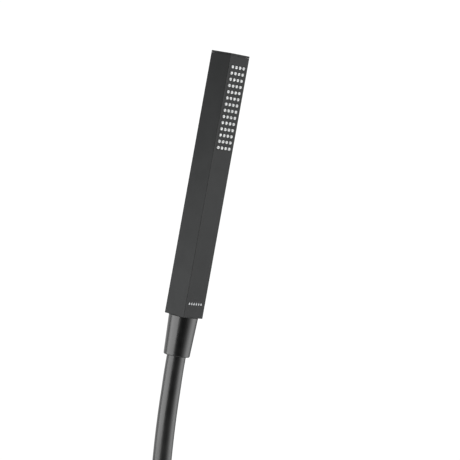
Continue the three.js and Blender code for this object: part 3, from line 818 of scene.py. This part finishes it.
def make_hose(with_pieces):
    points = hose_points()
    data = bpy.data.curves.new("hose", "CURVE")
    data.dimensions = "3D"
    data.resolution_u = 8
    data.bevel_depth = HOSE_RADIUS
    data.bevel_resolution = 14
    data.use_fill_caps = True
    data.twist_mode = "MINIMUM"
    spline = data.splines.new("BEZIER")
    spline.bezier_points.add(len(points) - 1)
    for knot, point in zip(spline.bezier_points, points):
        knot.co = point
        knot.handle_left_type = knot.handle_right_type = "AUTO"
    data.materials.append(MATERIALS["hose_plastic"])
    piece = bpy.data.objects.new("hose", data)
    bpy.context.scene.collection.objects.link(piece)
    bpy.context.view_layer.update()
    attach(piece, "hose")
    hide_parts("hose_tube", "hose_coil", "hose_tail_tube")


# ---- Wall end of the hose, made along Z and laid along X ----

END_AXIS = (WALL_NUT_LOW + WALL_NUT_HIGH) / 2

FERRULE_RADIUS = (FERRULE_HIGH.z - FERRULE_LOW.z) / 2
FERRULE_BORE = 5.1 * MM
HOSE_POCKET = 6 * MM
CRIMP_STARTS = (4 * MM, 8.5 * MM, 13 * MM)
CRIMP_LENGTH = 2.8 * MM
CRIMP_SLOPE = 0.6 * MM
CRIMP_DEPTH = 0.35 * MM

WALL_NUT_RADIUS = (WALL_NUT_HIGH.z - WALL_NUT_LOW.z) / 2
WALL_NUT_LENGTH = WALL_NUT_HIGH.x - WALL_NUT_LOW.x
WALL_NUT_BORE = 7.6 * MM
WALL_NUT_FLOOR = 3.1 * MM
WALL_NUT_SIDES = 192
FLUTES = 12
FLUTE_DEPTH = 0.55 * MM
FLUTE_LOW = 2.6 * MM
FLUTE_HIGH = WALL_NUT_LENGTH - MM
FLUTE_RUN_OUT = MM
SKIN = 0.01 * MM
THREAD_PITCH = 1.814 * MM
THREAD_TURNS = 3
THREAD_DEPTH = 0.4 * MM
THREAD_LEAD_IN = 1.2 * MM

WASHER_RADIUS = 9.9 * MM
WASHER_BORE = 5.5 * MM


def laid_along_x(start_x):
    """Turns a piece made along Z so that it runs along +X from start_x, on the end fitting's axis."""
    place = Matrix.Translation((start_x, END_AXIS.y, END_AXIS.z))
    return place @ Matrix.Rotation(math.pi / 2, 4, "Y")


def make_lower_ferrule():
    length = FERRULE_HIGH.x - FERRULE_LOW.x
    mouth = HOSE_RADIUS + HOSE_CLEARANCE
    crimp = FERRULE_RADIUS - CRIMP_DEPTH
    corners = [(mouth, 0.0), (FERRULE_RADIUS, 0.0, 0.5 * MM)]
    for start in CRIMP_STARTS:
        end = start + CRIMP_LENGTH
        corners += [
            (FERRULE_RADIUS, start),
            (crimp, start + CRIMP_SLOPE),
            (crimp, end - CRIMP_SLOPE),
            (FERRULE_RADIUS, end),
        ]
    corners += [
        (FERRULE_RADIUS, length, 0.7 * MM),
        (FERRULE_BORE, length),
        (FERRULE_BORE, HOSE_POCKET),
        (mouth, HOSE_POCKET),
    ]
    outline = rounded(corners, 0.3 * MM)
    place = laid_along_x(FERRULE_LOW.x)
    piece = turned("lower_crimp_ferrule", outline, "satin_black_coating", "hose", along=place)
    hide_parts("hose_lower_ferrule")
    return piece


def fluted(radius, height, angle):
    """The wall nut's radius with its grip flutes, which run out towards both ends. Only its skin has them."""
    if radius < WALL_NUT_RADIUS - SKIN or not FLUTE_LOW < height < FLUTE_HIGH:
        return radius
    run_in = smooth_share(height, FLUTE_LOW, FLUTE_LOW + FLUTE_RUN_OUT)
    run_out = 1 - smooth_share(height, FLUTE_HIGH - FLUTE_RUN_OUT, FLUTE_HIGH)
    hollow = (0.5 - 0.5 * math.cos(FLUTES * angle)) ** 3
    return radius - FLUTE_DEPTH * run_in * run_out * hollow


def make_wall_nut():
    outer, length = WALL_NUT_RADIUS, WALL_NUT_LENGTH
    corners = [
        (WALL_NUT_BORE, 0.0),
        (outer, 0.0, 1.2 * MM),
        (outer, FLUTE_LOW - 0.4 * MM),
        (outer, FLUTE_LOW + 0.1 * MM, 0.0),
        (outer, FLUTE_LOW + 0.8 * MM, 0.0),
        (outer, FLUTE_HIGH - 0.8 * MM, 0.0),
        (outer, FLUTE_HIGH - 0.1 * MM, 0.0),
        (outer, length, 0.6 * MM),
        (THREAD_CAVITY, length, 0.5 * MM),
    ]
    crest = THREAD_CAVITY - THREAD_DEPTH
    root_z = length - THREAD_LEAD_IN
    for _ in range(THREAD_TURNS):
        corners += [
            (THREAD_CAVITY, root_z),
            (crest, root_z - 0.4 * THREAD_PITCH),
            (crest, root_z - 0.6 * THREAD_PITCH),
        ]
        root_z -= THREAD_PITCH
    corners += [(THREAD_CAVITY, root_z), (THREAD_CAVITY, WALL_NUT_FLOOR), (WALL_NUT_BORE, WALL_NUT_FLOOR)]
    piece = turned(
        "wall_nut_detail",
        rounded(corners, 0.25 * MM),
        "satin_black_coating",
        "outlet_nut",
        sides=WALL_NUT_SIDES,
        along=laid_along_x(WALL_NUT_LOW.x),
        shape=fluted,
    )
    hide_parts("wall_nut")
    return piece


def make_wall_washer():
    length = WASHER_HIGH.x - WASHER_LOW.x
    corners = [(WASHER_BORE, 0.0), (WASHER_RADIUS, 0.0), (WASHER_RADIUS, length), (WASHER_BORE, length)]
    outline = rounded(corners, 0.35 * MM)
    place = laid_along_x(WASHER_LOW.x)
    piece = turned("wall_washer_detail", outline, "seal_rubber", "outlet_nut", along=place)
    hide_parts("wall_washer")
    return piece


# ---- Finishes of the CAD pieces that stay ----


def finish_cad_pieces():
    slots = {entry["node"]: entry["material_slot"] for entry in frame["record"]["subparts"]}
    for name, piece in frame["nodes"].items():
        piece.data.materials.clear()
        piece.data.materials.append(MATERIALS[slots[name]])


# ---- Floor, light and surroundings ----

FLOOR_RADIUS = 0.5
FLOOR_FADE_START = 0.22
FLOOR_FADE_END = 0.97 * FLOOR_RADIUS
FLOOR_RINGS = (1.0, 0.8, 0.6, 0.4, 0.2)  # shares of the radius
FLOOR_SIDES = 96


def make_floor():
    points = []
    for share in FLOOR_RINGS:
        for k in range(FLOOR_SIDES):
            angle = 2 * math.pi * k / FLOOR_SIDES
            points.append(FLOOR_RADIUS * share * Vector((math.cos(angle), math.sin(angle), 0.0)))
    faces = ring_faces(len(FLOOR_RINGS), FLOOR_SIDES)
    faces.append(tuple(range(len(points) - FLOOR_SIDES, len(points))))
    floor = mesh_object("floor", points, faces)
    floor.location = (COIL_CENTRE.x / 2, COIL_CENTRE.y / 2, FLOOR_Z)
    floor.data.materials.append(floor_paint())


# A low soft light bank at the left, beside the nut and hose, so that the handle darkens towards its top.
LOW_BANK_AZIMUTH = AZIMUTH - math.radians(62.5)
LOW_BANK_DISTANCE = 0.55
LOW_BANK_WIDTH = 0.78
LOW_BANK_LOW = -0.42
LOW_BANK_HIGH = 0.10
LOW_BANK_RADIANCE = 5.3


def make_low_bank():
    height = LOW_BANK_HIGH - LOW_BANK_LOW
    data = bpy.data.lights.new("low_bank", "AREA")
    data.shape = "RECTANGLE"
    data.size = LOW_BANK_WIDTH
    data.size_y = height
    data.energy = LOW_BANK_RADIANCE * math.pi * LOW_BANK_WIDTH * height
    bank = bpy.data.objects.new("low_bank", data)
    bpy.context.scene.collection.objects.link(bank)
    back = compass(LOW_BANK_AZIMUTH, 0.0)
    bank.location = back * LOW_BANK_DISTANCE + Vector((0.0, 0.0, (LOW_BANK_LOW + LOW_BANK_HIGH) / 2))
    bank.rotation_mode = "QUATERNION"
    bank.rotation_quaternion = back.to_track_quat("Z", "Y")
    bank.visible_camera = False


# Tall soft light banks round the studio: degrees to the right of the camera, narrowness (a power of the
# squared cosine of half the angle to the bank) and brightness.
BANKS = [
    (-135, 9, 1.2),
    (94, 12, 4.15),
]
CEILING = 0.9
SURROUNDINGS = 0.03
BACKDROP = 1.05


def make_world():
    """White behind the object as the camera sees it, and light banks and a ceiling for everything else."""
    world = bpy.data.worlds.new("studio")
    bpy.context.scene.world = world
    world.use_nodes = True
    tree = world.node_tree

    def maths(operation, *values):
        made = tree.nodes.new("ShaderNodeMath")
        made.operation = operation
        for socket, value in zip(made.inputs, values):
            if isinstance(value, float):
                socket.default_value = value
            else:
                tree.links.new(value, socket)
        return made.outputs["Value"]

    def vector_maths(operation, first, second=(0.0, 0.0, 0.0)):
        made = tree.nodes.new("ShaderNodeVectorMath")
        made.operation = operation
        tree.links.new(first, made.inputs[0])
        made.inputs[1].default_value = second
        return made.outputs

    direction = tree.nodes.new("ShaderNodeTexCoord").outputs["Generated"]
    flat = vector_maths("MULTIPLY", direction, (1.0, 1.0, 0.0))["Vector"]
    level = vector_maths("NORMALIZE", flat)["Vector"]
    up = vector_maths("DOT_PRODUCT", direction, (0.0, 0.0, 1.0))["Value"]
    flatness = maths("SUBTRACT", 1.0, maths("MULTIPLY", up, up))
    total = maths("ADD", SURROUNDINGS, maths("MULTIPLY", maths("MAXIMUM", up, 0.0), CEILING))
    for azimuth, narrowness, brightness in BANKS:
        centre = compass(AZIMUTH + math.radians(azimuth), 0.0)
        cosine = vector_maths("DOT_PRODUCT", level, centre)["Value"]
        nearness = maths("MULTIPLY_ADD", cosine, 0.5, 0.5)
        lobe = maths("MULTIPLY", maths("POWER", nearness, float(narrowness)), flatness)
        total = maths("ADD", total, maths("MULTIPLY", lobe, brightness))

    banks = tree.nodes["Background"]
    backdrop = tree.nodes.new("ShaderNodeBackground")
    for background in (banks, backdrop):
        background.inputs["Color"].default_value = (1.0, 1.0, 1.0, 1.0)
    backdrop.inputs["Strength"].default_value = BACKDROP
    tree.links.new(total, banks.inputs["Strength"])
    mix = tree.nodes.new("ShaderNodeMixShader")
    rays = tree.nodes.new("ShaderNodeLightPath")
    tree.links.new(rays.outputs["Is Camera Ray"], mix.inputs[0])
    tree.links.new(banks.outputs["Background"], mix.inputs[1])
    tree.links.new(backdrop.outputs["Background"], mix.inputs[2])
    tree.links.new(mix.outputs["Shader"], tree.nodes["World Output"].inputs["Surface"])
    bpy.context.scene.view_settings.view_transform = "Standard"


make_camera()
make_handle_tube()
make_cap()
make_nozzle_mat()
make_mark()
make_cone_nut()
make_crimp_sleeve()
make_valve_spring()
finish_cad_pieces()
make_hose([
    make_lower_ferrule(),
    make_wall_nut(),
    make_wall_washer(),
    frame["nodes"]["hose_lower_nipple"],
])
make_floor()
make_world()
make_low_bank()
